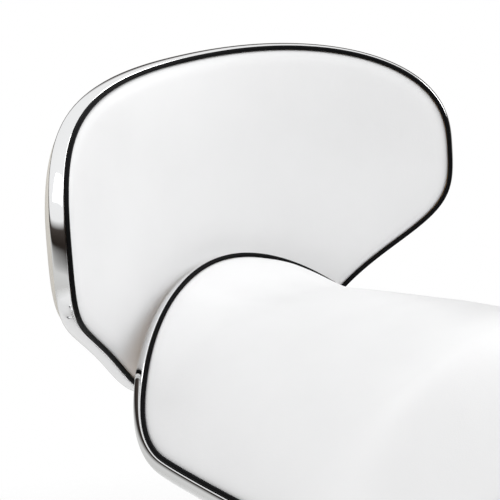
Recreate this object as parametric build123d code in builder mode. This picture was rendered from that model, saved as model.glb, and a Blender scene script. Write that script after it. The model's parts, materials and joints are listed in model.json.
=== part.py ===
"""Drafting chair: saddle seat, wrapped low back, gas lift, foot ring, five-star base, twin-wheel casters.

Millimetres, +Z up. The sitter faces -Y and the gas column runs up the line x = 0, y = 0 before the
whole chair is moved by FRAME_Y, which centres its bounding box on the origin.
"""
import math
import os

from build123d import *

# ---- the shared frame ----
FRAME_Y = 11.65  # move of the whole chair along Y

# ---- base and column ----
LEG_COUNT = 5
CASTER_R = 300.0  # circle the caster stems stand on
HUB_R, HUB_Z0, HUB_Z1 = 35.0, 58.0, 120.0
LEG_WALL, LEG_ROOT = 3.5, 40.0
TUBE_R, TUBE_WALL, TUBE_Z0, TUBE_Z1 = 25.0, 2.0, 60.0, 400.0
PLATE_T = 6.0  # bottom plate of the outer tube
ROD_R, ROD_Z0, ROD_Z1 = 5.0, 50.0, 340.5
CYL_R, CYL_BORE, CYL_Z0, CYL_Z1 = 14.0, 12.0, 100.0, 490.0
TAPER_Z0, TAPER_R1 = 458.0, 13.2  # taper at the top of the gas cylinder
PISTON_Z0, PISTON_H = 325.5, 12.0
RUN = 0.05  # radial running clearance of every shaft in its hole

# ---- casters ----
WHEEL_R, WHEEL_W, TRAIL = 25.0, 17.0, 18.0
STEM_R, AXLE_R = 5.5, 4.0
WEB = 3.6  # half thickness of the web between the wheels

# ---- foot ring ----
RING_R, RING_TUBE_R, RING_Z = 215.0, 11.0, 240.0
COLLAR_R0, COLLAR_R1, COLLAR_H = 28.0, 35.0, 50.0
SPOKE_R, SPOKES = 6.5, 4

# ---- seat: a bent pan, flat with its rear lip turned up ----
PAN_Z = 530.6  # top edge of the metal rim on the flat part
LIP_Y0, LIP_BEND_R, LIP_ANGLE = 86.0, 100.0, 55.0
PAN_DROP, PAN_T = 3.0, 9.0  # the ply lies 3 below the rim's edge and is 9 thick
RIM_DEPTH, RIM_T = 13.0, 3.0
SEAT_YC, SEAT_HALF_W, SEAT_REAR = 86.5, 188.0, 129.4
SEAT_REAR_P, SEAT_FLARE = 1.85, 28.0
SEAT_FRONT_Y, SEAT_FRONT_D, SEAT_FRONT_P = -105.0, 85.0, 2.6
SEAT_POINTS = 60
DOME_R, DOME_TOP = 251.0, 641.0
CORD_R = 2.0  # piping

# ---- back: a piece of cylinder wrapped round the sitter, leaning back ----
BACK_Y, BACK_Z, LEAN = 245.0, 705.0, 5.6
BACK_R = 331.0
BACK_HALF, BACK_TOP, BACK_TOP_P = 258.0, 113.3, 2.45
BACK_NECK, BACK_DROP, BACK_TAPER, BACK_END_P = 109.0, 182.4, 0.562, 4.7
BACK_FOAM, SHELL_T, COVER_T = 10.0, 8.0, 14.0

# ---- mechanism, bar and lever ----
MECH_Z1 = PAN_Z - PAN_DROP - PAN_T  # underside of the ply
MECH_T, BAR_T, BAR_W = 4.0, 8.0, 60.0
BOX_Z0, BOX_Z1, BOX_Y, BOX_X0, BOX_X1, BOX_T = 474.6, MECH_Z1 - MECH_T, 34.0, -45.0, 75.0, 3.0
LEVER_Z, PIVOT_X, LEVER_R, LEVER_END = 502.0, 52.0, 4.0, (205.0, 478.0)
PLATE_BOLTS = [(-60, -55), (60, -55), (-60, 55), (60, 55)]
BAR_BOLTS = [(-16, 84), (16, 84), (-16, 122), (16, 122)]
BACK_BOLTS = [(-16, -70), (16, -70), (-16, -25), (16, -25)]
BOLT_R, BOLT_HOLE_R, HEAD_R, HEAD_H = 3.0, 3.2, 5.5, 4.0

lean = math.radians(LEAN)
back_plane = Plane(
    origin=(0, BACK_Y, BACK_Z), x_dir=(1, 0, 0), z_dir=(0, -math.cos(lean), math.sin(lean))
)


def save(part, name):
    """Moves a finished part into the shared frame, labels it and writes its STEP file."""
    moved = part.moved(Location((0, FRAME_Y, 0)))
    moved.label = name
    export_step(moved, f"parts/{name}.step")


def tube(r0, r1, z0, z1):
    """A plain ring round the column."""
    with BuildPart() as ring:
        with BuildSketch(Plane.XY.offset(z0)):
            Circle(r1)
            Circle(r0, mode=Mode.SUBTRACT)
        extrude(amount=z1 - z0)
    return ring.part


def polar(angle, r):
    return r * math.cos(math.radians(angle)), r * math.sin(math.radians(angle))


# ---------------------------------------------------------------- base
def base_hub():
    with BuildPart() as hub:
        with BuildSketch(Plane.XY.offset(HUB_Z0)):
            Circle(HUB_R)
            Circle(TUBE_R, mode=Mode.SUBTRACT)
        extrude(amount=HUB_Z1 - HUB_Z0)
        rims = hub.edges().filter_by(GeomType.CIRCLE).sort_by(Axis.Z)
        fillet(rims[-2:].sort_by(SortBy.RADIUS)[-1], radius=5)
    return hub.part


def leg(angle):
    """A pressed leg, open underneath, tapering from the hub to a boss that takes a caster stem."""
    with BuildPart() as arm:
        with BuildSketch(Plane.YZ.offset(28)):
            with Locations((0, 93)):
                RectangleRounded(LEG_ROOT, 40, 9)
        with BuildSketch(Plane.YZ.offset(CASTER_R)):
            with Locations((0, 79)):
                RectangleRounded(25, 21, 7)
        loft()
        with BuildSketch(Plane.YZ.offset(28)):
            with Locations((0, 89)):
                RectangleRounded(LEG_ROOT - 2 * LEG_WALL, 40, 7)
        with BuildSketch(Plane.YZ.offset(CASTER_R)):
            with Locations((0, 75)):
                RectangleRounded(25 - 2 * LEG_WALL, 21, 5)
        loft(mode=Mode.SUBTRACT)
        with BuildSketch(Plane.XY.offset(66)):
            with Locations((CASTER_R, 0)):
                Circle(14)
        extrude(amount=25)
        fillet(arm.edges().filter_by(GeomType.CIRCLE).sort_by(Axis.Z)[-1], radius=3)
        with BuildSketch(Plane.XY.offset(66)):
            with Locations((CASTER_R, 0)):
                Circle(STEM_R + RUN)
        extrude(amount=20, mode=Mode.SUBTRACT)
        with BuildSketch(Plane.XY.offset(HUB_Z0 - 10)):
            Circle(HUB_R)
        extrude(amount=90, mode=Mode.SUBTRACT)
    return arm.part.rotate(Axis.Z, angle)


def outer_tube():
    with BuildPart() as body:
        with BuildSketch(Plane.XY.offset(TUBE_Z0)):
            Circle(TUBE_R)
        extrude(amount=TUBE_Z1 - TUBE_Z0)
        with BuildSketch(Plane.XY.offset(TUBE_Z0 + PLATE_T)):
            Circle(TUBE_R - TUBE_WALL)
        extrude(amount=TUBE_Z1, mode=Mode.SUBTRACT)
        with BuildSketch(Plane.XY.offset(TUBE_Z0)):
            Circle(ROD_R + RUN)
        extrude(amount=PLATE_T, mode=Mode.SUBTRACT)
    return body.part


def tube_cap():
    with BuildPart() as cap:
        with BuildSketch(Plane.XY.offset(TUBE_Z1)):
            Circle(TUBE_R + 2)
            Circle(CYL_R + 0.4, mode=Mode.SUBTRACT)
        extrude(amount=7)
        with BuildSketch(Plane.XY.offset(TUBE_Z1 - 10)):
            Circle(TUBE_R + 2)
            Circle(TUBE_R, mode=Mode.SUBTRACT)
        extrude(amount=10)
        top = cap.edges().filter_by(GeomType.CIRCLE).group_by(Axis.Z)[-1]
        fillet(top.sort_by(SortBy.RADIUS)[-1], radius=3)
    return cap.part


def piston_rod():
    with BuildPart() as rod:
        with BuildSketch(Plane.XY.offset(ROD_Z0)):
            Circle(ROD_R)
        extrude(amount=ROD_Z1 - ROD_Z0)
        with BuildSketch(Plane.XY.offset(PISTON_Z0)):
            Circle(CYL_BORE - RUN)
        extrude(amount=PISTON_H)
    return rod.part


# ---------------------------------------------------------------- gas lift and mechanism
def gas_cylinder():
    with BuildPart() as cyl:
        with BuildSketch(Plane.XY.offset(CYL_Z0)):
            Circle(CYL_R)
        extrude(amount=TAPER_Z0 - CYL_Z0)
        with BuildSketch(Plane.XY.offset(TAPER_Z0)):
            Circle(CYL_R)
        with BuildSketch(Plane.XY.offset(CYL_Z1)):
            Circle(TAPER_R1)
        loft()
        with BuildSketch(Plane.XY.offset(CYL_Z0 + 25)):
            Circle(CYL_BORE)
        extrude(amount=345, mode=Mode.SUBTRACT)
        with BuildSketch(Plane.XY.offset(CYL_Z0)):
            Circle(ROD_R + RUN)
        extrude(amount=25, mode=Mode.SUBTRACT)
        with BuildSketch(Plane.XY.offset(CYL_Z1 - 20)):
            Circle(4 + RUN)
        extrude(amount=20, mode=Mode.SUBTRACT)
    return cyl.part


def release_pin():
    """The button on top of the gas cylinder, with a domed head under the lever."""
    top = LEVER_Z - LEVER_R - 0.15
    with BuildPart() as pin:
        with BuildSketch(Plane.XY.offset(CYL_Z1 - 14)):
            Circle(4)
        extrude(amount=top - CYL_Z1 + 14)
        fillet(pin.edges().filter_by(GeomType.CIRCLE).sort_by(Axis.Z)[-1], radius=3.2)
    return pin.part


def mechanism_housing():
    """A pressed box with the tapered socket for the gas cylinder and two ears for the lever pivot."""
    mid = (BOX_X0 + BOX_X1) / 2
    with BuildPart() as box:
        with BuildSketch(Plane.XY.offset(BOX_Z0)):
            with Locations((mid, 0)):
                RectangleRounded(BOX_X1 - BOX_X0, 2 * BOX_Y, 10)
        extrude(amount=BOX_Z1 - BOX_Z0)
        with BuildSketch(Plane.XY.offset(BOX_Z0 + BOX_T)):
            with Locations((mid, 0)):
                RectangleRounded(BOX_X1 - BOX_X0 - 2 * BOX_T, 2 * (BOX_Y - BOX_T), 7)
        extrude(amount=BOX_Z1, mode=Mode.SUBTRACT)
        with BuildSketch(Plane.XY.offset(TAPER_Z0)):
            Circle(21)
        extrude(amount=CYL_Z1 - TAPER_Z0)
        with BuildSketch(Plane.XY.offset(TAPER_Z0)):
            Circle(CYL_R)
        with BuildSketch(Plane.XY.offset(CYL_Z1)):
            Circle(TAPER_R1)
        loft(mode=Mode.SUBTRACT)
        for y in (-14.5, 11.5):  # ears
            with BuildSketch(Plane.XZ.offset(-y - 3)):
                with Locations((PIVOT_X, BOX_Z0 + 18)):
                    Rectangle(16, 36)
            extrude(amount=3)
        with BuildSketch(Plane.XZ.offset(20)):
            with Locations((PIVOT_X, LEVER_Z)):
                Circle(3 + RUN)
        extrude(amount=-40, mode=Mode.SUBTRACT)
        with BuildSketch(Plane.YZ.offset(BOX_X1 - 5)):
            with Locations((0, LEVER_Z + 1)):
                Rectangle(10, 15)
        extrude(amount=10, mode=Mode.SUBTRACT)
    return box.part


def mechanism_plate():
    with BuildPart() as plate:
        with BuildSketch(Plane.XY.offset(MECH_Z1 - MECH_T)):
            RectangleRounded(150, 140, 12)
            with Locations((0, 100)):
                RectangleRounded(70, 90, 10)
            with Locations(*PLATE_BOLTS, *BAR_BOLTS):
                Circle(BOLT_HOLE_R, mode=Mode.SUBTRACT)
        extrude(amount=MECH_T)
    return plate.part


def upright_bolts(places, z_head, length):
    """Bolts whose heads are at z_head, with shanks going up."""
    with BuildPart() as bolts:
        with BuildSketch(Plane.XY.offset(z_head - HEAD_H)):
            with Locations(*places):
                Circle(HEAD_R)
        extrude(amount=HEAD_H)
        with BuildSketch(Plane.XY.offset(z_head)):
            with Locations(*places):
                Circle(BOLT_R)
        extrude(amount=length)
    return bolts.part


def lever_rod():
    """A bent rod on a cross pin. Pulling its outer end up pushes its inner end down."""
    with BuildPart() as rod:
        with BuildLine(Plane.XZ) as path:
            FilletPolyline((-6, LEVER_Z), (95, LEVER_Z), LEVER_END, radius=30)
        with BuildSketch(Plane.YZ.offset(-6)):
            with Locations((0, LEVER_Z)):
                Circle(LEVER_R)
        sweep(path=path.wires()[0])
        with BuildSketch(Plane.XZ.offset(17)):
            with Locations((PIVOT_X, LEVER_Z)):
                Circle(3)
        extrude(amount=-34)
    return rod.part


def lever_grip():
    """A flat paddle pushed over the end of the rod."""
    x1, z1 = LEVER_END
    slope = math.atan2(z1 - LEVER_Z, x1 - 95)
    away = Plane(
        origin=(x1 - 52 * math.cos(slope), 0, z1 - 52 * math.sin(slope)),
        x_dir=(0, 1, 0),
        z_dir=(math.cos(slope), 0, math.sin(slope)),
    )
    with BuildPart() as grip:
        with BuildSketch(away):
            RectangleRounded(18, 12, 5)
        with BuildSketch(away.offset(58)):
            RectangleRounded(30, 11, 5)
        loft()
        with BuildSketch(away.offset(-1)):
            Circle(LEVER_R)
        extrude(amount=53, mode=Mode.SUBTRACT)
    return grip.part


def back_bar():
    """The flat steel bar from the mechanism plate up the outside of the back."""
    z0 = MECH_Z1 - MECH_T - BAR_T / 2
    n = SHELL_T + 3.2 + COVER_T + 0.3 + BAR_T / 2  # how far the bar's middle is behind the piping plane
    t0 = (z0 - BACK_Z + n * math.sin(lean)) / math.cos(lean)
    corner = BACK_Y + t0 * math.sin(lean) + n * math.cos(lean)
    top = back_plane.from_local_coords(Vector(0, 6, -n))
    with BuildPart() as bar:
        with BuildLine(Plane.YZ) as path:
            FilletPolyline((62, z0), (corner, z0), (top.Y, top.Z), radius=22)
        with BuildSketch(Plane.XZ.offset(-62)):
            with Locations((0, z0)):
                Rectangle(BAR_W, BAR_T)
        sweep(path=path.wires()[0])
        with BuildSketch(Plane.XY.offset(z0 - 10)):
            with Locations(*BAR_BOLTS):
                Circle(BOLT_HOLE_R)
        extrude(amount=20, mode=Mode.SUBTRACT)
        with BuildSketch(back_plane.offset(-n - 10)):
            with Locations(*BACK_BOLTS):
                Circle(BOLT_HOLE_R)
        extrude(amount=20, mode=Mode.SUBTRACT)
    return bar.part


def back_bolts():
    outer = SHELL_T + 3.2 + COVER_T + 0.3 + BAR_T
    with BuildPart() as bolts:
        with BuildSketch(back_plane.offset(-outer - HEAD_H)):
            with Locations(*BACK_BOLTS):
                Circle(HEAD_R)
        extrude(amount=HEAD_H)
        with BuildSketch(back_plane.offset(-outer)):
            with Locations(*BACK_BOLTS):
                Circle(BOLT_R)
        extrude(amount=outer - 6)
    return bolts.part


# ---------------------------------------------------------------- seat
def power(v, p):
    return math.copysign(abs(v) ** (2 / p), v)


def seat_right_half():
    """Plan points down the right side, from the rear middle to the front middle."""
    pts = []
    for i in range(1, 41):
        a = math.radians(90 * i / 40)
        pts.append(
            (SEAT_HALF_W * power(math.sin(a), SEAT_REAR_P), SEAT_YC + SEAT_REAR * power(math.cos(a), SEAT_REAR_P))
        )
    for i in range(1, 7):
        y = SEAT_YC + (SEAT_FRONT_Y - SEAT_YC) * i / 6
        pts.append((SEAT_HALF_W + SEAT_FLARE * (1 - (1 - (SEAT_YC - y) / 300) ** 2), y))
    wide = pts[-1][0]
    for i in range(1, 40):
        a = math.radians(90 * i / 40)
        pts.append(
            (wide * power(math.cos(a), SEAT_FRONT_P), SEAT_FRONT_Y - SEAT_FRONT_D * power(math.sin(a), SEAT_FRONT_P))
        )
    return pts


def eased(loop):
    """Each point of a closed loop drawn toward its two neighbours."""
    n = len(loop)
    return [
        tuple((a + 2 * b + c) / 4 for a, b, c in zip(loop[i - 1], loop[i], loop[(i + 1) % n])) for i in range(n)
    ]


def seat_loop():
    """The whole plan outline: evenly spaced points with the joins between its curves eased."""
    right = seat_right_half()
    front = (0, SEAT_FRONT_Y - SEAT_FRONT_D)
    rear = (0, SEAT_YC + SEAT_REAR)
    rough = [rear] + right + [front] + [(-x, y) for x, y in reversed(right)]
    ends = rough[1:] + rough[:1]
    total = sum(math.dist(p, q) for p, q in zip(rough, ends))
    step, travelled, loop = total / SEAT_POINTS, 0.0, []
    for p, q in zip(rough, ends):
        length = math.dist(p, q)
        while len(loop) < SEAT_POINTS and len(loop) * step <= travelled + length:
            k = (len(loop) * step - travelled) / length
            loop.append((p[0] + k * (q[0] - p[0]), p[1] + k * (q[1] - p[1])))
        travelled += length
    for _ in range(3):
        loop = eased(loop)
    return loop


def grown(points, grow):
    """The closed loop moved outward by grow, each point along its own normal."""
    out, n = [], len(points)
    for i, (x, y) in enumerate(points):
        dx = points[(i + 1) % n][0] - points[i - 1][0]
        dy = points[(i + 1) % n][1] - points[i - 1][1]
        length = math.hypot(dx, dy)
        out.append((x - grow * dy / length, y + grow * dx / length))
    return out


def seat_prism(grow):
    with BuildPart() as prism:
        with BuildSketch(Plane.XY.offset(PAN_Z - 60)):
            with BuildLine():
                Spline(*grown(seat_loop(), grow), periodic=True)
            make_face()
        extrude(amount=260)
    return prism.part


def lip_height(y):
    """Height and slope angle of the rim's top edge at y."""
    bend = math.radians(LIP_ANGLE)
    end = LIP_Y0 + LIP_BEND_R * math.sin(bend)
    if y <= LIP_Y0:
        return PAN_Z, 0.0
    if y < end:
        a = math.asin((y - LIP_Y0) / LIP_BEND_R)
        return PAN_Z + LIP_BEND_R * (1 - math.cos(a)), a
    return PAN_Z + LIP_BEND_R * (1 - math.cos(bend)) + (y - end) * math.tan(bend), bend


def seat_slab(top, bottom):
    """The bent sheet between two depths below the rim's top surface."""
    bend = math.radians(LIP_ANGLE)
    far = (140 * math.cos(bend), 140 * math.sin(bend))
    with BuildPart() as slab:
        with BuildSketch(Plane.YZ.offset(-260)):
            with BuildLine():
                ends = []
                for depth in (top, bottom):
                    flat = Line((-260, PAN_Z - depth), (LIP_Y0, PAN_Z - depth))
                    arc = JernArc(flat @ 1, (1, 0), LIP_BEND_R + depth, LIP_ANGLE)
                    lip = Line(arc @ 1, (arc @ 1) + Vector(*far))
                    ends.append((flat @ 0, lip @ 1))
                Line(ends[0][0], ends[1][0])
                Line(ends[0][1], ends[1][1])
            make_face()
        extrude(amount=520)
    return slab.part


def seat_block(grow, depth):
    """The seat's outline, moved outward by grow, thickened down from the bent surface, square to it."""
    prism = seat_prism(grow)
    with BuildPart() as block:
        for face in seat_slab(0, 5).faces():
            n = face.normal_at()
            if n.Z > 0.3 and n.Y < 0.01:
                thicken(face.intersect(prism).faces()[0], amount=-depth)
    return block.part


def seat_pan():
    with BuildPart() as pan:
        add(seat_block(-0.8, PAN_DROP + PAN_T))
        add(seat_slab(-1, PAN_DROP), mode=Mode.SUBTRACT)
        with BuildSketch(Plane.XY.offset(MECH_Z1)):
            with Locations(*PLATE_BOLTS):
                Circle(BOLT_HOLE_R)
        extrude(amount=PAN_T, mode=Mode.SUBTRACT)
    return pan.part


def seat_rim():
    with BuildPart() as rim:
        add(seat_block(RIM_T - 0.6, RIM_DEPTH))
        add(seat_block(-0.6, RIM_DEPTH + 1), mode=Mode.SUBTRACT)
    return rim.part


def seat_piping():
    """A round cord lying on the rim's top edge all the way round."""
    pts = []
    loop = seat_loop()
    for i in range(SEAT_POINTS // 2 + 1):
        x = 0 if i in (0, SEAT_POINTS // 2) else loop[i][0]
        z, slope = lip_height(loop[i][1])
        up = CORD_R + 0.1
        pts.append((x, loop[i][1] - up * math.sin(slope), z + up * math.cos(slope)))
    return half_cord(pts, CORD_R)


def half_cord(pts, r):
    """A cord through points from one middle point to the other, with its mirror image about x = 0."""
    def across(p):
        return (-p[0], p[1], p[2])
    with BuildPart() as cord:
        with BuildLine() as path:
            Spline(across(pts[2]), across(pts[1]), *pts, across(pts[-2]), across(pts[-3]))
        run = path.edges()[0]
        with BuildSketch(Plane(origin=run @ 0, z_dir=run % 0)):
            Circle(r)
        sweep(path=path.wires()[0], is_frenet=True)
        split(bisect_by=Plane.YZ, keep=Keep.TOP)
        mirror(about=Plane.YZ)
    return cord.part


def dome_height(x, y):
    """Top of the seat cushion over the plan point (x, y)."""
    back = y - SEAT_YC + 41.5 - 71.7
    z = DOME_TOP - 15 - 0.148 * (y - 45)
    z += 0.004358 * back * back if back > 0 else -0.000068 * back * back
    reach = min(max((SEAT_YC + SEAT_REAR - y) / 110, 0), 1)
    z += 15 * math.sqrt(1 - (1 - reach) ** 2)
    nose = min(max((-125 - y) / 72, 0), 1)
    z -= 78 * (1 - math.sqrt(1 - nose**2))
    return z - DOME_R + math.sqrt(DOME_R**2 - min(abs(x), 230) ** 2)


def seat_cushion():
    """Foam block: domed on top, flat where it lies on the pan, its rear edge climbing the lip."""
    xs = [-222 + 444 * i / 24 for i in range(25)]
    ys = [-196 + 414 * i / 30 for i in range(31)]
    roof = Face.make_surface_from_array_of_points(
        [[Vector(x, y, dome_height(x, y)) for x in xs] for y in ys], tol=0.5, max_deg=5
    )
    with BuildPart() as foam:
        add(Solid.extrude(roof, Vector(0, 0, -230)))
        add(seat_prism(-5), mode=Mode.INTERSECT)
        add(seat_slab(PAN_DROP - 0.2, 240), mode=Mode.SUBTRACT)
    return foam.part


def seat_under_cover():
    with BuildPart() as tray:
        with BuildSketch(Plane.XY.offset(MECH_Z1 - 2.6)):
            with Locations((0, -38)):
                RectangleRounded(300, 224, 50)
            with Locations((0, 12)):
                Rectangle(156, 170, mode=Mode.SUBTRACT)
        extrude(amount=2.5)
    return tray.part


# ---------------------------------------------------------------- back, in the back's own plane
def back_loop():
    """Points (arc length, height) round the back's edge."""
    pts = []
    for i in range(-15, 16):
        a = math.radians(6 * i)
        pts.append((BACK_HALF * power(math.sin(a), BACK_TOP_P), BACK_TOP * power(math.cos(a), BACK_TOP_P)))
    down = []
    for i in range(1, 22):
        b = math.sin(math.radians(90 * i / 22))
        wide = (BACK_HALF - BACK_NECK) / (1 + (b / BACK_TAPER) ** 4) + BACK_NECK
        down.append((wide * (1 - b**BACK_END_P) ** (1 / BACK_END_P), -BACK_DROP * b))
    pts += down + [(0, -BACK_DROP)] + [(-s, t) for s, t in reversed(down)]
    return pts


def back_patch(grow, radius):
    """The back's outline, moved outward by grow, cut from a cylinder of the given radius."""
    loop = grown(back_loop(), grow)
    with BuildPart() as prism:
        with BuildSketch(Plane.XY.offset(-40)):
            with BuildLine():
                Spline(*[(radius * math.sin(s / BACK_R), t) for s, t in loop], periodic=True)
            make_face()
        extrude(amount=radius)
    with BuildPart() as drum:
        with Locations(Location((0, 0, BACK_R), (90, 0, 0))):
            Cylinder(radius, 500)
    wall = drum.faces().filter_by(GeomType.CYLINDER)[0]
    return wall.intersect(prism.part).faces().sort_by(Axis.Z)[0]


def back_layer(grow, depth, thickness):
    """A curved layer starting depth behind the piping surface, thickened backward (or forward if < 0)."""
    with BuildPart() as layer:
        thicken(back_patch(grow, BACK_R + depth), amount=thickness)
    return layer.part


def edge_loop(part, radius):
    """The long edges lying on the cylinder of this radius."""
    def on_it(e):
        p = e @ 0.3
        return abs(math.hypot(p.X, p.Z - BACK_R) - radius) < 0.05
    return [e for e in part.edges() if on_it(e)]


def back_cushion():
    with BuildPart() as foam:
        add(back_layer(-2.7, 2.8, -2.8 - BACK_FOAM))
        fillet(edge_loop(foam, BACK_R - BACK_FOAM), radius=8)
    return back_plane.location * foam.part


def bolt_holes(part):
    with BuildPart() as drilled:
        add(part)
        with BuildSketch(Plane.XY.offset(-60)):
            with Locations(*BACK_BOLTS):
                Circle(BOLT_HOLE_R)
        extrude(amount=60, mode=Mode.SUBTRACT)
    return drilled.part


def back_shell():
    return back_plane.location * bolt_holes(back_layer(-0.8, 3.0, SHELL_T))


def back_cover():
    with BuildPart() as cover:
        add(back_layer(-0.9, 3.0 + SHELL_T + 0.2, COVER_T))
        fillet(edge_loop(cover, BACK_R + 3.2 + SHELL_T + COVER_T), radius=9)
    return back_plane.location * bolt_holes(cover.part)


def back_rim():
    with BuildPart() as rim:
        add(back_layer(RIM_T - 0.6, CORD_R + 0.1, RIM_DEPTH))
        add(back_layer(-0.6, CORD_R - 1, RIM_DEPTH + 3), mode=Mode.SUBTRACT)
    return back_plane.location * rim.part


def back_piping():
    right = [(0, BACK_TOP)] + [(s, t) for s, t in back_loop() if s > 1] + [(0, -BACK_DROP)]
    pts = [(BACK_R * math.sin(s / BACK_R), t, BACK_R * (1 - math.cos(s / BACK_R))) for s, t in right]
    return back_plane.location * half_cord(pts, CORD_R)


# ---------------------------------------------------------------- foot ring
def foot_ring():
    with BuildPart() as ring:
        with BuildSketch(Plane.XZ):
            with Locations((RING_R, RING_Z)):
                Circle(RING_TUBE_R)
        revolve(axis=Axis.Z)
    return ring.part


def foot_ring_spider():
    """Clamp collar with its spokes, coped to sit against the ring."""
    with BuildPart() as spider:
        with BuildSketch(Plane.XY.offset(RING_Z - COLLAR_H / 2)):
            Circle(COLLAR_R1)
        extrude(amount=COLLAR_H)
        for i in range(SPOKES):
            out = polar(45 + 360 * i / SPOKES, 1)
            with BuildSketch(Plane(origin=(0, 0, RING_Z), z_dir=(*out, 0))):
                Circle(SPOKE_R)
            extrude(amount=RING_R - 2)
        with BuildSketch(Plane.XY.offset(RING_Z - COLLAR_H / 2)):
            Circle(COLLAR_R0)
        extrude(amount=COLLAR_H, mode=Mode.SUBTRACT)
        add(foot_ring(), mode=Mode.SUBTRACT)
        with BuildSketch(Plane.YZ):
            with Locations((0, RING_Z)):
                Circle(4 + RUN)
        extrude(amount=60, mode=Mode.SUBTRACT)
    return spider.part


def foot_ring_bush():
    with BuildPart() as bush:
        add(tube(TUBE_R + RUN, COLLAR_R0, RING_Z - COLLAR_H / 2, RING_Z + COLLAR_H / 2))
        with BuildSketch(Plane.YZ):
            with Locations((0, RING_Z)):
                Circle(4 + RUN)
        extrude(amount=60, mode=Mode.SUBTRACT)
    return bush.part


def clamp_knob():
    """Six-lobed knob on its threaded stud's outer end."""
    with BuildPart() as knob:
        with BuildSketch(Plane.YZ.offset(44)):
            with Locations((0, RING_Z)):
                Circle(17)
                with PolarLocations(20, 6):
                    Circle(6.5, mode=Mode.SUBTRACT)
        extrude(amount=18)
        with BuildSketch(Plane.YZ.offset(38)):
            with Locations((0, RING_Z)):
                Circle(9)
        extrude(amount=6)
        with BuildSketch(Plane.YZ.offset(38)):
            with Locations((0, RING_Z)):
                Circle(4)
        extrude(amount=16, mode=Mode.SUBTRACT)
    return knob.part


def clamp_stud():
    with BuildPart() as stud:
        with BuildSketch(Plane.YZ.offset(TUBE_R + 0.3)):
            with Locations((0, RING_Z)):
                Circle(4)
        extrude(amount=54 - TUBE_R - 0.3)
    return stud.part


# ---------------------------------------------------------------- caster, its stem on the Z axis
def caster_stem():
    with BuildPart() as stem:
        with BuildSketch(Plane.XY.offset(52)):
            Circle(STEM_R)
        extrude(amount=32)
        with BuildSketch(Plane.XY.offset(63)):
            Circle(8)
        extrude(amount=2.7)
        chamfer(stem.edges().filter_by(GeomType.CIRCLE).sort_by(Axis.Z)[-1], length=1)
    return stem.part


def caster_housing():
    """Hood over both wheels, web between them with the axle stubs, and the boss for the stem."""
    with BuildPart() as body:
        side = Plane.YZ
        with BuildSketch(side.offset(-23.5)):
            with Locations((TRAIL, WHEEL_R)):
                Circle(WHEEL_R + 5.5)
                Circle(WHEEL_R + 2, mode=Mode.SUBTRACT)
            with Locations((TRAIL, WHEEL_R - 30)):
                Rectangle(80, 80, mode=Mode.SUBTRACT)
        extrude(amount=47)
        with BuildSketch(side.offset(-WEB)):
            with Locations((TRAIL, WHEEL_R)):
                Circle(WHEEL_R + 5)
            with Locations((TRAIL, -10)):
                Rectangle(80, 36, mode=Mode.SUBTRACT)
        extrude(amount=2 * WEB)
        with BuildSketch(side.offset(-4 - WHEEL_W)):
            with Locations((TRAIL, WHEEL_R)):
                Circle(AXLE_R)
        extrude(amount=2 * (4 + WHEEL_W))
        with BuildSketch(Plane.XY.offset(WHEEL_R + 26.4)):
            Circle(10.5)
        extrude(amount=63 - WHEEL_R - 26.4)
        with BuildSketch(Plane.XY.offset(52)):
            Circle(STEM_R)
        extrude(amount=20, mode=Mode.SUBTRACT)
    return body.part


def caster_wheel(side):
    x0 = 4.0 if side > 0 else -4.0 - WHEEL_W
    with BuildPart() as wheel:
        with BuildSketch(Plane.YZ.offset(x0)):
            with Locations((TRAIL, WHEEL_R)):
                Circle(WHEEL_R)
        extrude(amount=WHEEL_W)
        fillet(wheel.edges().filter_by(GeomType.CIRCLE), radius=2.5)
        with BuildSketch(Plane.YZ.offset(x0)):
            with Locations((TRAIL, WHEEL_R)):
                Circle(AXLE_R + RUN)
        extrude(amount=WHEEL_W, mode=Mode.SUBTRACT)
    return wheel.part


def main():
    os.makedirs("parts", exist_ok=True)
    save(base_hub(), "base_hub")
    save(outer_tube(), "outer_tube")
    save(tube(CYL_R + RUN, TUBE_R - TUBE_WALL, 330, TUBE_Z1), "tube_bush")
    save(tube_cap(), "tube_cap")
    save(tube(ROD_R + 0.3, 20, TUBE_Z0 + PLATE_T, 76), "thrust_bearing")
    save(tube(ROD_R + 0.3, 14, 76, CYL_Z0 - 0.2), "bumper")
    save(piston_rod(), "piston_rod")
    save(tube(ROD_R, 9, 55, 58), "rod_clip")

    save(gas_cylinder(), "gas_cylinder")
    save(release_pin(), "release_pin")
    save(mechanism_housing(), "mechanism_housing")
    save(mechanism_plate(), "mechanism_plate")
    save(upright_bolts(PLATE_BOLTS, MECH_Z1 - MECH_T, MECH_T + PAN_T - 1), "plate_bolts")
    save(lever_rod(), "lever_rod")
    save(lever_grip(), "lever_grip")
    save(back_bar(), "back_bar")
    save(upright_bolts(BAR_BOLTS, MECH_Z1 - MECH_T - BAR_T, BAR_T + MECH_T - 0.3), "bar_bolts")

    save(seat_pan(), "seat_pan")
    save(seat_rim(), "seat_rim")
    save(seat_piping(), "seat_piping")
    save(seat_cushion(), "seat_cushion")
    save(seat_under_cover(), "seat_under_cover")

    save(back_shell(), "back_shell")
    save(back_rim(), "back_rim")
    save(back_piping(), "back_piping")
    save(back_cushion(), "back_cushion")
    save(back_cover(), "back_cover")
    save(back_bolts(), "back_bolts")

    save(foot_ring(), "foot_ring")
    save(foot_ring_spider(), "foot_ring_spider")
    save(foot_ring_bush(), "foot_ring_bush")
    save(clamp_knob(), "clamp_knob")
    save(clamp_stud(), "clamp_stud")

    caster = {
        "stem": caster_stem(),
        "housing": caster_housing(),
        "wheel_left": caster_wheel(-1),
        "wheel_right": caster_wheel(1),
    }
    for i in range(LEG_COUNT):
        angle = -90 + 360 * i / LEG_COUNT
        save(leg(angle), f"leg_{i + 1}")
        place = Location((*polar(angle, CASTER_R), 0))
        for piece, shape in caster.items():
            save(shape.moved(place), f"caster_{piece}_{i + 1}")


main()
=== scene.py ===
import json
import math

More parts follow.
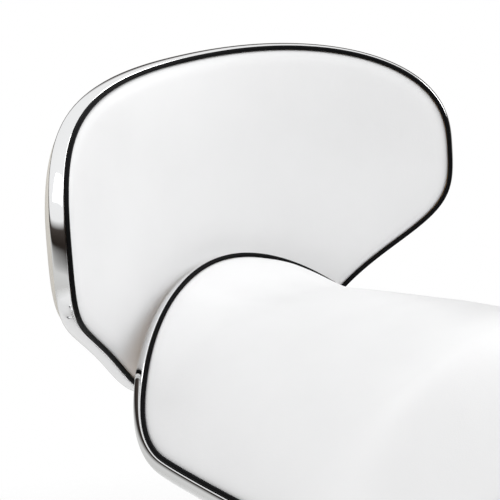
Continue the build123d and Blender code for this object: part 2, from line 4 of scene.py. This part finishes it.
import bmesh
import bpy
import numpy as np
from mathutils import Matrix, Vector, noise

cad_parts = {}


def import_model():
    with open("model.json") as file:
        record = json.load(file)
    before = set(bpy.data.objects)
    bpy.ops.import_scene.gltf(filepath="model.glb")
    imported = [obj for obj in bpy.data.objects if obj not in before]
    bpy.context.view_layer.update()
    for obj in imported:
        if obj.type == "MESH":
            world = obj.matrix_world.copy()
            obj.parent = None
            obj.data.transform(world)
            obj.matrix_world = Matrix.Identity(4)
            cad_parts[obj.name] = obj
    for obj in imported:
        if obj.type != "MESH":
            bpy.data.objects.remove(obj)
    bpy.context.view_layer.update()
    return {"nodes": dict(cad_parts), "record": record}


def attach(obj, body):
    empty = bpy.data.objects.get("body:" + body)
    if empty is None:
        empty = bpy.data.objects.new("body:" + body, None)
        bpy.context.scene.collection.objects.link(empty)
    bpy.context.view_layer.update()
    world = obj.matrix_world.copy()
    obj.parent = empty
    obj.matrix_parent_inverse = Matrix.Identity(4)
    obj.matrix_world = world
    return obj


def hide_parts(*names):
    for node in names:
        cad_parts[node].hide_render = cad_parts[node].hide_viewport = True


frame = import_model()
MM = 0.001
GAP = 0.1  # clearance under a cord, mm
MOVE = Vector((0, 11.65, 0))  # the chair's place in the shared frame, mm

# ---------------------------------------------------------------- the same driving sizes as the CAD, mm
PAN_Z, LIP_Y0, LIP_R, LIP_A = 530.6, 86.0, 100.0, math.radians(55)
SEAT_YC, SEAT_W, SEAT_REAR, SEAT_P, FLARE = 86.5, 188.0, 129.4, 1.85, 28.0
FRONT_Y, FRONT_D, FRONT_P = -105.0, 85.0, 2.6
DOME_R, DOME_Z = 251.0, 626.0
BACK_Y, BACK_Z, LEAN, BACK_R = 245.0, 705.0, math.radians(5.6), 331.0
BACK_HALF, BACK_TOP, BACK_P = 258.0, 113.3, 2.45
NECK, DROP, TAPER, END_P = 109.0, 182.4, 0.562, 4.7
CORD, RIM_DEPTH, UNDER = 2.0, 13.0, 5.0

# ---------------------------------------------------------------- the foam's own shape, mm
SEAT_MID, BACK_MID = Vector((0.0, 10.0, 0.0)), np.array([0.0, -8.0])  # where the rings of a pad close
FALL, FALL_FROM, REAR_FROM = 0.148, 45.0, 116.7  # the saddle falls to the rear, then climbs the lip
REAR_CLIMB, FRONT_DIP = 0.004358, 0.000068
NOSE_FROM, NOSE_LENGTH, NOSE_DROP, NOSE_P = -88.0, 105.0, 92.0, 2.3
SHOULDER, SHOULDER_W = 15.0, 110.0  # rise of the foam in from the piping, and over what width
EASE_FROM, EASE_OVER, EDGE_BLEND = 198.0, 13.0, 62.0  # the shoulder is soft on the rear lip only
DOME_X_MAX = 235.0  # the dome's arc is not used past here


# ---------------------------------------------------------------- mesh helpers
def new_object(name, verts, faces, mat, body, smooth=True):
    """A mesh from points in the chair's own millimetres."""
    mesh = bpy.data.meshes.new(name)
    mesh.from_pydata([tuple((Vector(v) + MOVE) * MM) for v in verts], [], faces)
    mesh.validate()
    obj = bpy.data.objects.new(name, mesh)
    bpy.context.collection.objects.link(obj)
    bm = bmesh.new()
    bm.from_mesh(mesh)
    bmesh.ops.recalc_face_normals(bm, faces=bm.faces)
    bm.to_mesh(mesh)
    bm.free()
    for p in mesh.polygons:
        p.use_smooth = smooth
    mesh.materials.append(mat)
    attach(obj, body)
    return obj


def power(v, p):
    return math.copysign(abs(v) ** (2 / p), v)


def eased(loop):
    """Each point of a closed loop drawn toward its two neighbours."""
    return (np.roll(loop, 1, 0) + 2 * loop + np.roll(loop, -1, 0)) / 4


def even_loop(points, count, passes=3):
    """count evenly spaced points round a closed plan loop, with its joins eased."""
    pts = np.array(points, float)
    nxt = np.roll(pts, -1, axis=0)
    seg = np.hypot(*(nxt - pts).T)
    acc = np.concatenate([[0], np.cumsum(seg)])
    closed = np.vstack([pts, pts[:1]])
    at = np.arange(count) * acc[-1] / count
    out = np.stack([np.interp(at, acc, closed[:, k]) for k in range(pts.shape[1])], 1)
    for _ in range(passes):
        out = eased(out)
    return out


def loop_normals(loop):
    d = np.roll(loop, -1, 0) - np.roll(loop, 1, 0)
    d /= np.hypot(*d.T)[:, None]
    n = np.stack([-d[:, 1], d[:, 0]], 1)
    if (n * (loop - loop.mean(0))).sum() < 0:
        n = -n
    return n


def grid_faces(rows, cols):
    """Quads over rows of closed loops."""
    faces = []
    for r in range(rows - 1):
        a, b = r * cols, (r + 1) * cols
        for c in range(cols):
            d = (c + 1) % cols
            faces.append((a + c, a + d, b + d, b + c))
    return faces


def capped(verts, rows, cols, first, last):
    """A closed form from rows of loops, with a point in the middle of each end."""
    verts = list(verts) + [first, last]
    faces = grid_faces(rows, cols)
    low, top, base = len(verts) - 2, len(verts) - 1, (rows - 1) * cols
    for i in range(cols):
        j = (i + 1) % cols
        faces += [(j, i, low), (base + i, base + j, top)]
    return verts, faces


def sweep_section(centres, outs, backs, section):
    """A closed band: each (out, back) of the section placed at every point of a closed path."""
    verts = []
    for c, o, b in zip(centres, outs, backs):
        for u, w in section:
            verts.append(Vector(c) + Vector(o) * u + Vector(b) * w)
    n, k = len(centres), len(section)
    faces = []
    for i in range(n):
        j = (i + 1) % n
        for a in range(k):
            b = (a + 1) % k
            faces.append((i * k + a, i * k + b, j * k + b, j * k + a))
    return verts, faces


def cord_section(r, n=14):
    return [(r * math.cos(2 * math.pi * i / n), r * math.sin(2 * math.pi * i / n)) for i in range(n)]


def rim_section(depth, t0, t1, start):
    """A pressed metal strip: rolled edges and a slightly convex face."""
    pts = [(t0, start + 0.4), (t0 + 0.4, start)]
    for i in range(15):
        k = i / 14
        bulge = math.sin(math.pi * k) ** 0.55
        pts.append((t1 - 1.15 + 1.15 * bulge, start + 0.15 + (depth - 0.3) * k))
    pts += [(t0 + 0.4, start + depth), (t0, start + depth - 0.4)]
    return pts


# ---------------------------------------------------------------- seat shapes
def seat_half():
    pts = []
    for i in range(1, 91):
        a = math.radians(i)
        y = SEAT_YC + SEAT_REAR * power(math.cos(a), SEAT_P)
        pts.append((SEAT_W * power(math.sin(a), SEAT_P), y))
    for i in range(1, 25):
        y = SEAT_YC + (FRONT_Y - SEAT_YC) * i / 24
        pts.append((SEAT_W + FLARE * (1 - (1 - (SEAT_YC - y) / 300) ** 2), y))
    wide = pts[-1][0]
    for i in range(1, 90):
        a = math.radians(i)
        y = FRONT_Y - FRONT_D * power(math.sin(a), FRONT_P)
        pts.append((wide * power(math.cos(a), FRONT_P), y))
    return pts


def seat_loop(count):
    right = seat_half()
    rough = [(0, SEAT_YC + SEAT_REAR)] + right + [(0, FRONT_Y - FRONT_D)]
    rough += [(-x, y) for x, y in reversed(right)]
    return even_loop(rough, count, passes=int(3 * (count / 60) ** 2))


def lip(y):
    end = LIP_Y0 + LIP_R * math.sin(LIP_A)
    if y <= LIP_Y0:
        return PAN_Z, 0.0
    if y < end:
        a = math.asin((y - LIP_Y0) / LIP_R)
        return PAN_Z + LIP_R * (1 - math.cos(a)), a
    return PAN_Z + LIP_R * (1 - math.cos(LIP_A)) + (y - end) * math.tan(LIP_A), LIP_A


def seat_edge(count):
    """The seat's edge: surface points, cord centres, and outward and downward directions off the pan."""
    loop = seat_loop(count)
    nrm = loop_normals(loop)
    tops, cords, outs, downs = [], [], [], []
    for (x, y), (u, v) in zip(loop, nrm):
        z, a = lip(y)
        down = Vector((0, math.sin(a), -math.cos(a)))
        tops.append(Vector((x, y, z)))
        cords.append(tops[-1] - down * (CORD + GAP))
        outs.append(Vector((u, v * math.cos(a), v * math.sin(a))))
        downs.append(down)
    return tops, cords, outs, downs


def smooth(v):
    v = min(max(v, 0), 1)
    return v * v * (3 - 2 * v)


def dome(x, y, edge, soft):
    """Skin of the seat over a plan point, edge in from the piping; soft eases its shoulder."""
    back = y - REAR_FROM
    z = DOME_Z - FALL * (y - FALL_FROM)
    z += REAR_CLIMB * back * back if back > 0 else -FRONT_DIP * back * back
    z += DOME_R * (math.sqrt(1 - (min(abs(x), DOME_X_MAX) / DOME_R) ** 2) - 1)
    nose = min(max((NOSE_FROM - y) / NOSE_LENGTH, 0), 1)
    z -= NOSE_DROP * (1 - (1 - nose**NOSE_P) ** (1 / NOSE_P))
    c = min(edge / SHOULDER_W, 1)
    return z + SHOULDER * (soft * smooth(c) + (1 - soft) * math.sqrt(1 - (1 - c) ** 2))


def seat_skin():
    count, rings, low_rings = 240, 60, 16
    _, cords, outs, downs = seat_edge(count)
    rim = [c - o * (CORD + 0.3) - d * 0.3 for c, o, d in zip(cords, outs, downs)]
    mid = SEAT_MID
    verts = []
    for k in range(1, low_rings + 1):
        for p0 in rim:
            p = mid + (p0 - mid) * (k / low_rings)
            z, a = lip(p.y)
            verts.append((p.x, p.y + UNDER * math.sin(a), z - UNDER * math.cos(a)))
    for k in range(rings):
        f = 1 - (k / rings) ** 1.25
        for p0 in rim:
            soft = smooth((p0.y - EASE_FROM) / EASE_OVER)
            p = mid + (p0 - mid) * f
            edge = math.hypot(p0.x - p.x, p0.y - p.y) * 0.93
            z = dome(p.x, p.y, edge, soft)
            z += (p0.z - dome(p0.x, p0.y, 0, soft)) * (1 - smooth(edge / EDGE_BLEND))
            v = Vector((p.x, p.y, z))
            wob = noise.noise(v * 0.012) * 1.3 + noise.noise(v * 0.035 + Vector((5, 1, 2))) * 0.35
            v.z += wob * smooth(edge / 40)
            verts.append(tuple(v))
    first = (mid.x, mid.y, PAN_Z - UNDER)
    last = (mid.x, mid.y, dome(mid.x, mid.y, 200, 0))
    return capped(verts, low_rings + rings, count, first, last)


# ---------------------------------------------------------------- back shapes
def back_loop(count):
    pts = []
    for i in range(-90, 91):
        a = math.radians(i)
        pts.append((BACK_HALF * power(math.sin(a), BACK_P), BACK_TOP * power(math.cos(a), BACK_P)))
    down = []
    for i in range(1, 120):
        b = math.sin(math.radians(90 * i / 120))
        wide = (BACK_HALF - NECK) / (1 + (b / TAPER) ** 4) + NECK
        down.append((wide * (1 - b**END_P) ** (1 / END_P), -DROP * b))
    pts += down + [(0, -DROP)] + [(-s, t) for s, t in reversed(down)]
    return even_loop(pts, count, passes=6)


UP = Vector((0, math.sin(LEAN), math.cos(LEAN)))
FORE = Vector((0, -math.cos(LEAN), math.sin(LEAN)))


def on_back(s, t, depth):
    """A point at arc length s and height t, depth behind the piping's surface."""
    th = s / BACK_R
    radius = BACK_R + depth
    p = Vector((0, BACK_Y, BACK_Z)) + Vector((radius * math.sin(th), 0, 0)) + UP * t
    return p + FORE * (BACK_R - radius * math.cos(th))


def back_axes(s, direction):
    """Outward-in-the-surface and backward directions at arc length s."""
    th = s / BACK_R
    side = Vector((math.cos(th), 0, 0)) + FORE * math.sin(th)
    behind = Vector((math.sin(th), 0, 0)) - FORE * math.cos(th)
    return side * direction[0] + UP * direction[1], behind


def roll(edge, width):
    """Rise of a stuffed edge, steep at the seam and dying away smoothly over width."""
    return 1 - (1 - min(edge / width, 1)) ** 3


def back_pad(inset, under, start, edge_rise, width, broad, dimple=0.0):
    """A crowned panel on the curved back, from depth under to its skin; < 0 is toward the sitter."""
    count, rings, low_rings = 260, 46, 14
    loop = back_loop(count)
    rim = loop - loop_normals(loop) * inset
    mid = BACK_MID
    verts = []
    for k in range(1, low_rings + 1):
        verts += [on_back(*(mid + (r - mid) * k / low_rings), under) for r in rim]
    for k in range(rings):
        f = 1 - (k / rings) ** 1.2
        for r in rim:
            p = mid + (r - mid) * f
            edge = float(np.sqrt(((rim - p) ** 2).sum(1).min()))
            d = start + edge_rise * (0.45 * roll(edge, 0.3 * width) + 0.55 * roll(edge, 1.6 * width))
            d += broad * (1 - f * f)
            v = Vector((p[0], p[1], 0))
            wob = noise.noise(v * 0.009 + Vector((3, 3, 7))) * 0.5 + noise.noise(v * 0.03) * 0.12
            d += wob * smooth(edge / 90) * dimple
            verts.append(on_back(p[0], p[1], d))
    first, last = on_back(*mid, under), on_back(*mid, start + edge_rise + broad)
    return capped(verts, low_rings + rings, count, first, last)


# ---------------------------------------------------------------- materials
def material(name):
    mat = bpy.data.materials.new(name)
    mat.use_nodes = True
    nodes, links = mat.node_tree.nodes, mat.node_tree.links
    bsdf = nodes.get("Principled BSDF")
    coord = nodes.new("ShaderNodeTexCoord")
    return mat, nodes, links, bsdf, coord


def noise_node(nodes, links, coord, scale, detail=4.0, rough=0.5, stretch=(1, 1, 1)):
    mapping = nodes.new("ShaderNodeMapping")
    mapping.inputs["Scale"].default_value = stretch
    links.new(coord.outputs["Object"], mapping.inputs["Vector"])
    tex = nodes.new("ShaderNodeTexNoise")
    tex.inputs["Scale"].default_value = scale
    tex.inputs["Detail"].default_value = detail
    tex.inputs["Roughness"].default_value = rough
    links.new(mapping.outputs["Vector"], tex.inputs["Vector"])
    return tex


def ramp(nodes, links, source, stops):
    node = nodes.new("ShaderNodeValToRGB")
    els = node.color_ramp.elements
    while len(els) < len(stops):
        els.new(0.5)
    for el, (pos, col) in zip(els, stops):
        el.position = pos
        el.color = (*col, 1) if len(col) == 3 else col
    links.new(source, node.inputs["Fac"])
    return node


def bump(nodes, links, bsdf, height, strength, distance, before=None):
    node = nodes.new("ShaderNodeBump")
    node.inputs["Strength"].default_value = strength
    node.inputs["Distance"].default_value = distance
    links.new(height, node.inputs["Height"])
    if before is not None:
        links.new(before.outputs["Normal"], node.inputs["Normal"])
    links.new(node.outputs["Normal"], bsdf.inputs["Normal"])
    return node


def rough_range(nodes, links, bsdf, tex, lo, hi):
    node = nodes.new("ShaderNodeMapRange")
    node.inputs["To Min"].default_value = lo
    node.inputs["To Max"].default_value = hi
    links.new(tex, node.inputs["Value"])
    links.new(node.outputs["Result"], bsdf.inputs["Roughness"])


def leather(name, tint):
    """Smooth white upholstery leather: pebbled pores, faint streaks and a soft clear finish."""
    mat, nodes, links, bsdf, coord = material(name)
    cloud = noise_node(nodes, links, coord, 14, 3)
    col = ramp(nodes, links, cloud.outputs["Fac"], [(0.3, tuple(c * 0.975 for c in tint)), (0.7, tint)])
    links.new(col.outputs["Color"], bsdf.inputs["Base Color"])
    pores = nodes.new("ShaderNodeTexVoronoi")
    pores.inputs["Scale"].default_value = 900
    pores.feature = "F1"
    links.new(coord.outputs["Object"], pores.inputs["Vector"])
    streak = noise_node(nodes, links, coord, 300, 3, 0.55, (1, 1, 0.12))
    soft = noise_node(nodes, links, coord, 45, 3, 0.5)
    first = bump(nodes, links, bsdf, pores.outputs["Distance"], 0.10, 0.0004)
    second = bump(nodes, links, bsdf, streak.outputs["Fac"], 0.10, 0.0004, first)
    bump(nodes, links, bsdf, soft.outputs["Fac"], 0.06, 0.002, second)
    rough_range(nodes, links, bsdf, cloud.outputs["Fac"], 0.40, 0.50)
    bsdf.inputs["Specular IOR Level"].default_value = 0.38
    bsdf.inputs["Coat Weight"].default_value = 0.05
    bsdf.inputs["Coat Roughness"].default_value = 0.3
    return mat


def plain(
    name, tint, lo, hi, metallic=0.0, scale=60, grain=0.08, depth=0.0003, spread=0.12, stretch=(1, 1, 1)
):
    """Painted, moulded or metal surfaces: colour drift, roughness drift and a fine texture."""
    mat, nodes, links, bsdf, coord = material(name)
    drift = noise_node(nodes, links, coord, scale * 0.25, 4)
    dark = tuple(max(c * (1 - spread), 0) for c in tint)
    col = ramp(nodes, links, drift.outputs["Fac"], [(0.3, dark), (0.7, tint)])
    links.new(col.outputs["Color"], bsdf.inputs["Base Color"])
    bsdf.inputs["Metallic"].default_value = metallic
    fine = noise_node(nodes, links, coord, scale, 5, 0.6, stretch)
    rough_range(nodes, links, bsdf, fine.outputs["Fac"], lo, hi)
    if grain:
        bump(nodes, links, bsdf, fine.outputs["Fac"], grain, depth)
    return mat


def plywood(name):
    """Beech plywood: plies show as bands, with fine grain along them."""
    mat, nodes, links, bsdf, coord = material(name)
    wave = nodes.new("ShaderNodeTexWave")
    wave.bands_direction = "Z"
    wave.inputs["Scale"].default_value = 180
    wave.inputs["Distortion"].default_value = 1.5
    links.new(coord.outputs["Object"], wave.inputs["Vector"])
    col = ramp(nodes, links, wave.outputs["Fac"], [(0.2, (0.33, 0.2, 0.1)), (0.8, (0.62, 0.45, 0.27))])
    links.new(col.outputs["Color"], bsdf.inputs["Base Color"])
    grain = noise_node(nodes, links, coord, 220, 5, 0.6, (1, 0.1, 1))
    rough_range(nodes, links, bsdf, grain.outputs["Fac"], 0.5, 0.7)
    bump(nodes, links, bsdf, grain.outputs["Fac"], 0.15, 0.0004)
    return mat


WHITE = leather("white_leather", (0.867, 0.868, 0.872))
BLACK_CORD = plain("black_piping", (0.003, 0.003, 0.0035), 0.5, 0.65, scale=700, grain=0.25)
BLACK_CORD.node_tree.nodes["Principled BSDF"].inputs["Specular IOR Level"].default_value = 0.07
CHROME = plain(
    "chrome", (0.86, 0.865, 0.87), 0.035, 0.085, 1.0, scale=30, grain=0.015, depth=0.0004, spread=0.03
)
STEEL = plain(
    "zinc_steel", (0.56, 0.57, 0.58), 0.25, 0.42, 1.0, scale=260, grain=0.08, stretch=(1, 1, 0.1)
)
PANEL = plain("back_panel", (0.80, 0.765, 0.70), 0.5, 0.65, scale=420, grain=0.2, spread=0.05)
PAINT = plain("black_paint", (0.022, 0.022, 0.024), 0.3, 0.48, scale=900, grain=0.3, depth=0.0002)
PLASTIC = plain("black_plastic", (0.028, 0.028, 0.03), 0.42, 0.6, scale=1400, grain=0.4, depth=0.0002)
WHEEL = plain("wheel_nylon", (0.035, 0.035, 0.038), 0.3, 0.5, scale=500, grain=0.12, depth=0.0002)
RUBBER = plain("rubber", (0.02, 0.02, 0.02), 0.7, 0.85, scale=600, grain=0.3)
WOOD = plywood("plywood")
BY_SLOT = {
    "chrome": CHROME,
    "steel": STEEL,
    "black_paint": PAINT,
    "black_plastic": PLASTIC,
    "wheel_plastic": WHEEL,
    "rubber": RUBBER,
    "plywood": WOOD,
    "upholstery": WHITE,
    "piping": BLACK_CORD,
    "back_panel": PANEL,
}
for row in frame["record"]["subparts"]:
    node = frame["nodes"][row["node"]]
    node.data.materials.clear()
    node.data.materials.append(BY_SLOT[row["material_slot"]])


# ---------------------------------------------------------------- pieces
def seat_pieces():
    verts, faces = seat_skin()
    cushion = new_object("seat_upholstery", verts, faces, WHITE, "seat")
    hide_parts("seat_cushion")
    tops, path, outs, downs = seat_edge(420)
    verts, faces = sweep_section(path, outs, downs, cord_section(CORD))
    cord = new_object("seat_cord", verts, faces, BLACK_CORD, "seat")
    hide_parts("seat_piping")
    verts, faces = sweep_section(tops, outs, downs, rim_section(RIM_DEPTH, -0.6, 2.9, 0))
    rim = new_object("seat_trim", verts, faces, CHROME, "seat")
    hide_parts("seat_rim")


def back_pieces():
    verts, faces = back_pad(2.4, 2.7, 0.4, -6.8, 48, -3.0, dimple=0.8)
    cushion = new_object("back_upholstery", verts, faces, WHITE, "seat")
    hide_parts("back_cushion")
    verts, faces = back_pad(0.9, 11.3, 13.0, 9.0, 24, 3.0)
    cover = new_object("back_panel", verts, faces, PANEL, "seat")
    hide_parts("back_cover")
    loop = back_loop(460)
    nrm = loop_normals(loop)
    path = [on_back(s, t, 0) for s, t in loop]
    axes = [back_axes(p[0], n) for p, n in zip(loop, nrm)]
    outs, backs = [a for a, _ in axes], [b for _, b in axes]
    verts, faces = sweep_section(path, outs, backs, cord_section(CORD))
    cord = new_object("back_cord", verts, faces, BLACK_CORD, "seat")
    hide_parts("back_piping")
    verts, faces = sweep_section(path, outs, backs, rim_section(RIM_DEPTH, -0.6, 2.9, CORD + GAP))
    rim = new_object("back_trim", verts, faces, CHROME, "seat")
    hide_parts("back_rim")


seat_pieces()
back_pieces()


# ---------------------------------------------------------------- stage, lights, camera
def stage_floor():
    mesh = bpy.data.meshes.new("floor")
    n, radius = 96, 1.25
    turns = [2 * math.pi * i / n for i in range(n)]
    verts = [(radius * math.cos(a), radius * math.sin(a), 0) for a in turns]
    mesh.from_pydata(verts, [], [tuple(range(n))])
    floor = bpy.data.objects.new("floor", mesh)
    bpy.context.collection.objects.link(floor)
    mat, nodes, links, bsdf, coord = material("floor")
    bsdf.inputs["Base Color"].default_value = (0.9, 0.9, 0.9, 1)
    bsdf.inputs["Roughness"].default_value = 0.6
    grad = nodes.new("ShaderNodeTexGradient")
    grad.gradient_type = "SPHERICAL"
    mapping = nodes.new("ShaderNodeMapping")
    mapping.inputs["Scale"].default_value = (1 / radius, 1 / radius, 1 / radius)
    links.new(coord.outputs["Object"], mapping.inputs["Vector"])
    links.new(mapping.outputs["Vector"], grad.inputs["Vector"])
    fade = ramp(nodes, links, grad.outputs["Fac"], [(0.0, (0, 0, 0)), (0.45, (1, 1, 1))])
    links.new(fade.outputs["Color"], bsdf.inputs["Alpha"])
    mesh.materials.append(mat)


def area(name, place, target, size, energy, colour=(1, 1, 1)):
    light = bpy.data.lights.new(name, "AREA")
    light.shape = "RECTANGLE"
    light.size, light.size_y = size
    light.energy = energy
    light.color = colour
    obj = bpy.data.objects.new(name, light)
    obj.location = place
    obj.rotation_euler = (Vector(target) - Vector(place)).to_track_quat("-Z", "Y").to_euler()
    bpy.context.collection.objects.link(obj)
    return obj


def world():
    """White for the eye and for diffuse light; a studio with dark gaps for what chrome mirrors."""
    w = bpy.data.worlds.new("studio")
    bpy.context.scene.world = w
    w.use_nodes = True
    nodes, links = w.node_tree.nodes, w.node_tree.links
    nodes.clear()
    out = nodes.new("ShaderNodeOutputWorld")
    path = nodes.new("ShaderNodeLightPath")
    coord = nodes.new("ShaderNodeTexCoord")
    split = nodes.new("ShaderNodeSeparateXYZ")
    links.new(coord.outputs["Generated"], split.inputs["Vector"])
    lift = nodes.new("ShaderNodeMapRange")
    lift.inputs["From Min"].default_value = -1
    links.new(split.outputs["Z"], lift.inputs["Value"])
    shades = [(0.0, (0.75, 0.75, 0.75)), (0.5, (0.80, 0.80, 0.80)), (1.0, (1, 1, 1))]
    dome_light = ramp(nodes, links, lift.outputs["Result"], shades)
    mirror = ramp(
        nodes,
        links,
        lift.outputs["Result"],
        [
            (0.0, (0.55, 0.54, 0.52)),
            (0.36, (0.7, 0.7, 0.69)),
            (0.44, (0.02, 0.015, 0.012)),
            (0.57, (0.06, 0.05, 0.045)),
            (0.66, (0.95, 0.95, 0.95)),
            (1.0, (1, 1, 1)),
        ],
    )
    diffuse = nodes.new("ShaderNodeBackground")
    links.new(dome_light.outputs["Color"], diffuse.inputs["Color"])
    diffuse.inputs["Strength"].default_value = 0.76
    glossy = nodes.new("ShaderNodeBackground")
    links.new(mirror.outputs["Color"], glossy.inputs["Color"])
    seen = nodes.new("ShaderNodeBackground")
    seen.inputs["Color"].default_value = (1, 1, 1, 1)
    seen.inputs["Strength"].default_value = 1.0
    a = nodes.new("ShaderNodeMixShader")
    b = nodes.new("ShaderNodeMixShader")
    links.new(path.outputs["Is Glossy Ray"], a.inputs["Fac"])
    links.new(diffuse.outputs[0], a.inputs[1])
    links.new(glossy.outputs[0], a.inputs[2])
    links.new(path.outputs["Is Camera Ray"], b.inputs["Fac"])
    links.new(a.outputs[0], b.inputs[1])
    links.new(seen.outputs[0], b.inputs[2])
    links.new(b.outputs[0], out.inputs["Surface"])


stage_floor()
world()
area("key", (2.3, -0.9, 1.7), (0, 0.1, 0.7), (1.6, 1.4), 30)
fill = area("fill", (-2.0, -0.4, 1.3), (0, 0.1, 0.7), (1.2, 1.4), 2.2)
fill.visible_glossy = False
area("top", (-0.9, -0.6, 2.6), (0, -0.05, 0.62), (1.8, 1.4), 16)

AZ, EL, DIST, LENS = math.radians(-43.54), math.radians(17.82), 2.3905, 2877.5 / 500 * 36
aim = Vector((-0.12525, 0.05665, 0.71442))
ahead = Vector((-math.sin(AZ) * math.cos(EL), math.cos(AZ) * math.cos(EL), -math.sin(EL)))
cam = bpy.data.cameras.new("camera")
cam.lens, cam.sensor_width, cam.clip_end = LENS, 36, 50
eye = bpy.data.objects.new("camera", cam)
eye.location = aim - ahead * DIST
eye.rotation_euler = ahead.to_track_quat("-Z", "Y").to_euler()
bpy.context.collection.objects.link(eye)
bpy.context.scene.camera = eye
bpy.context.scene.view_settings.view_transform = "Standard"

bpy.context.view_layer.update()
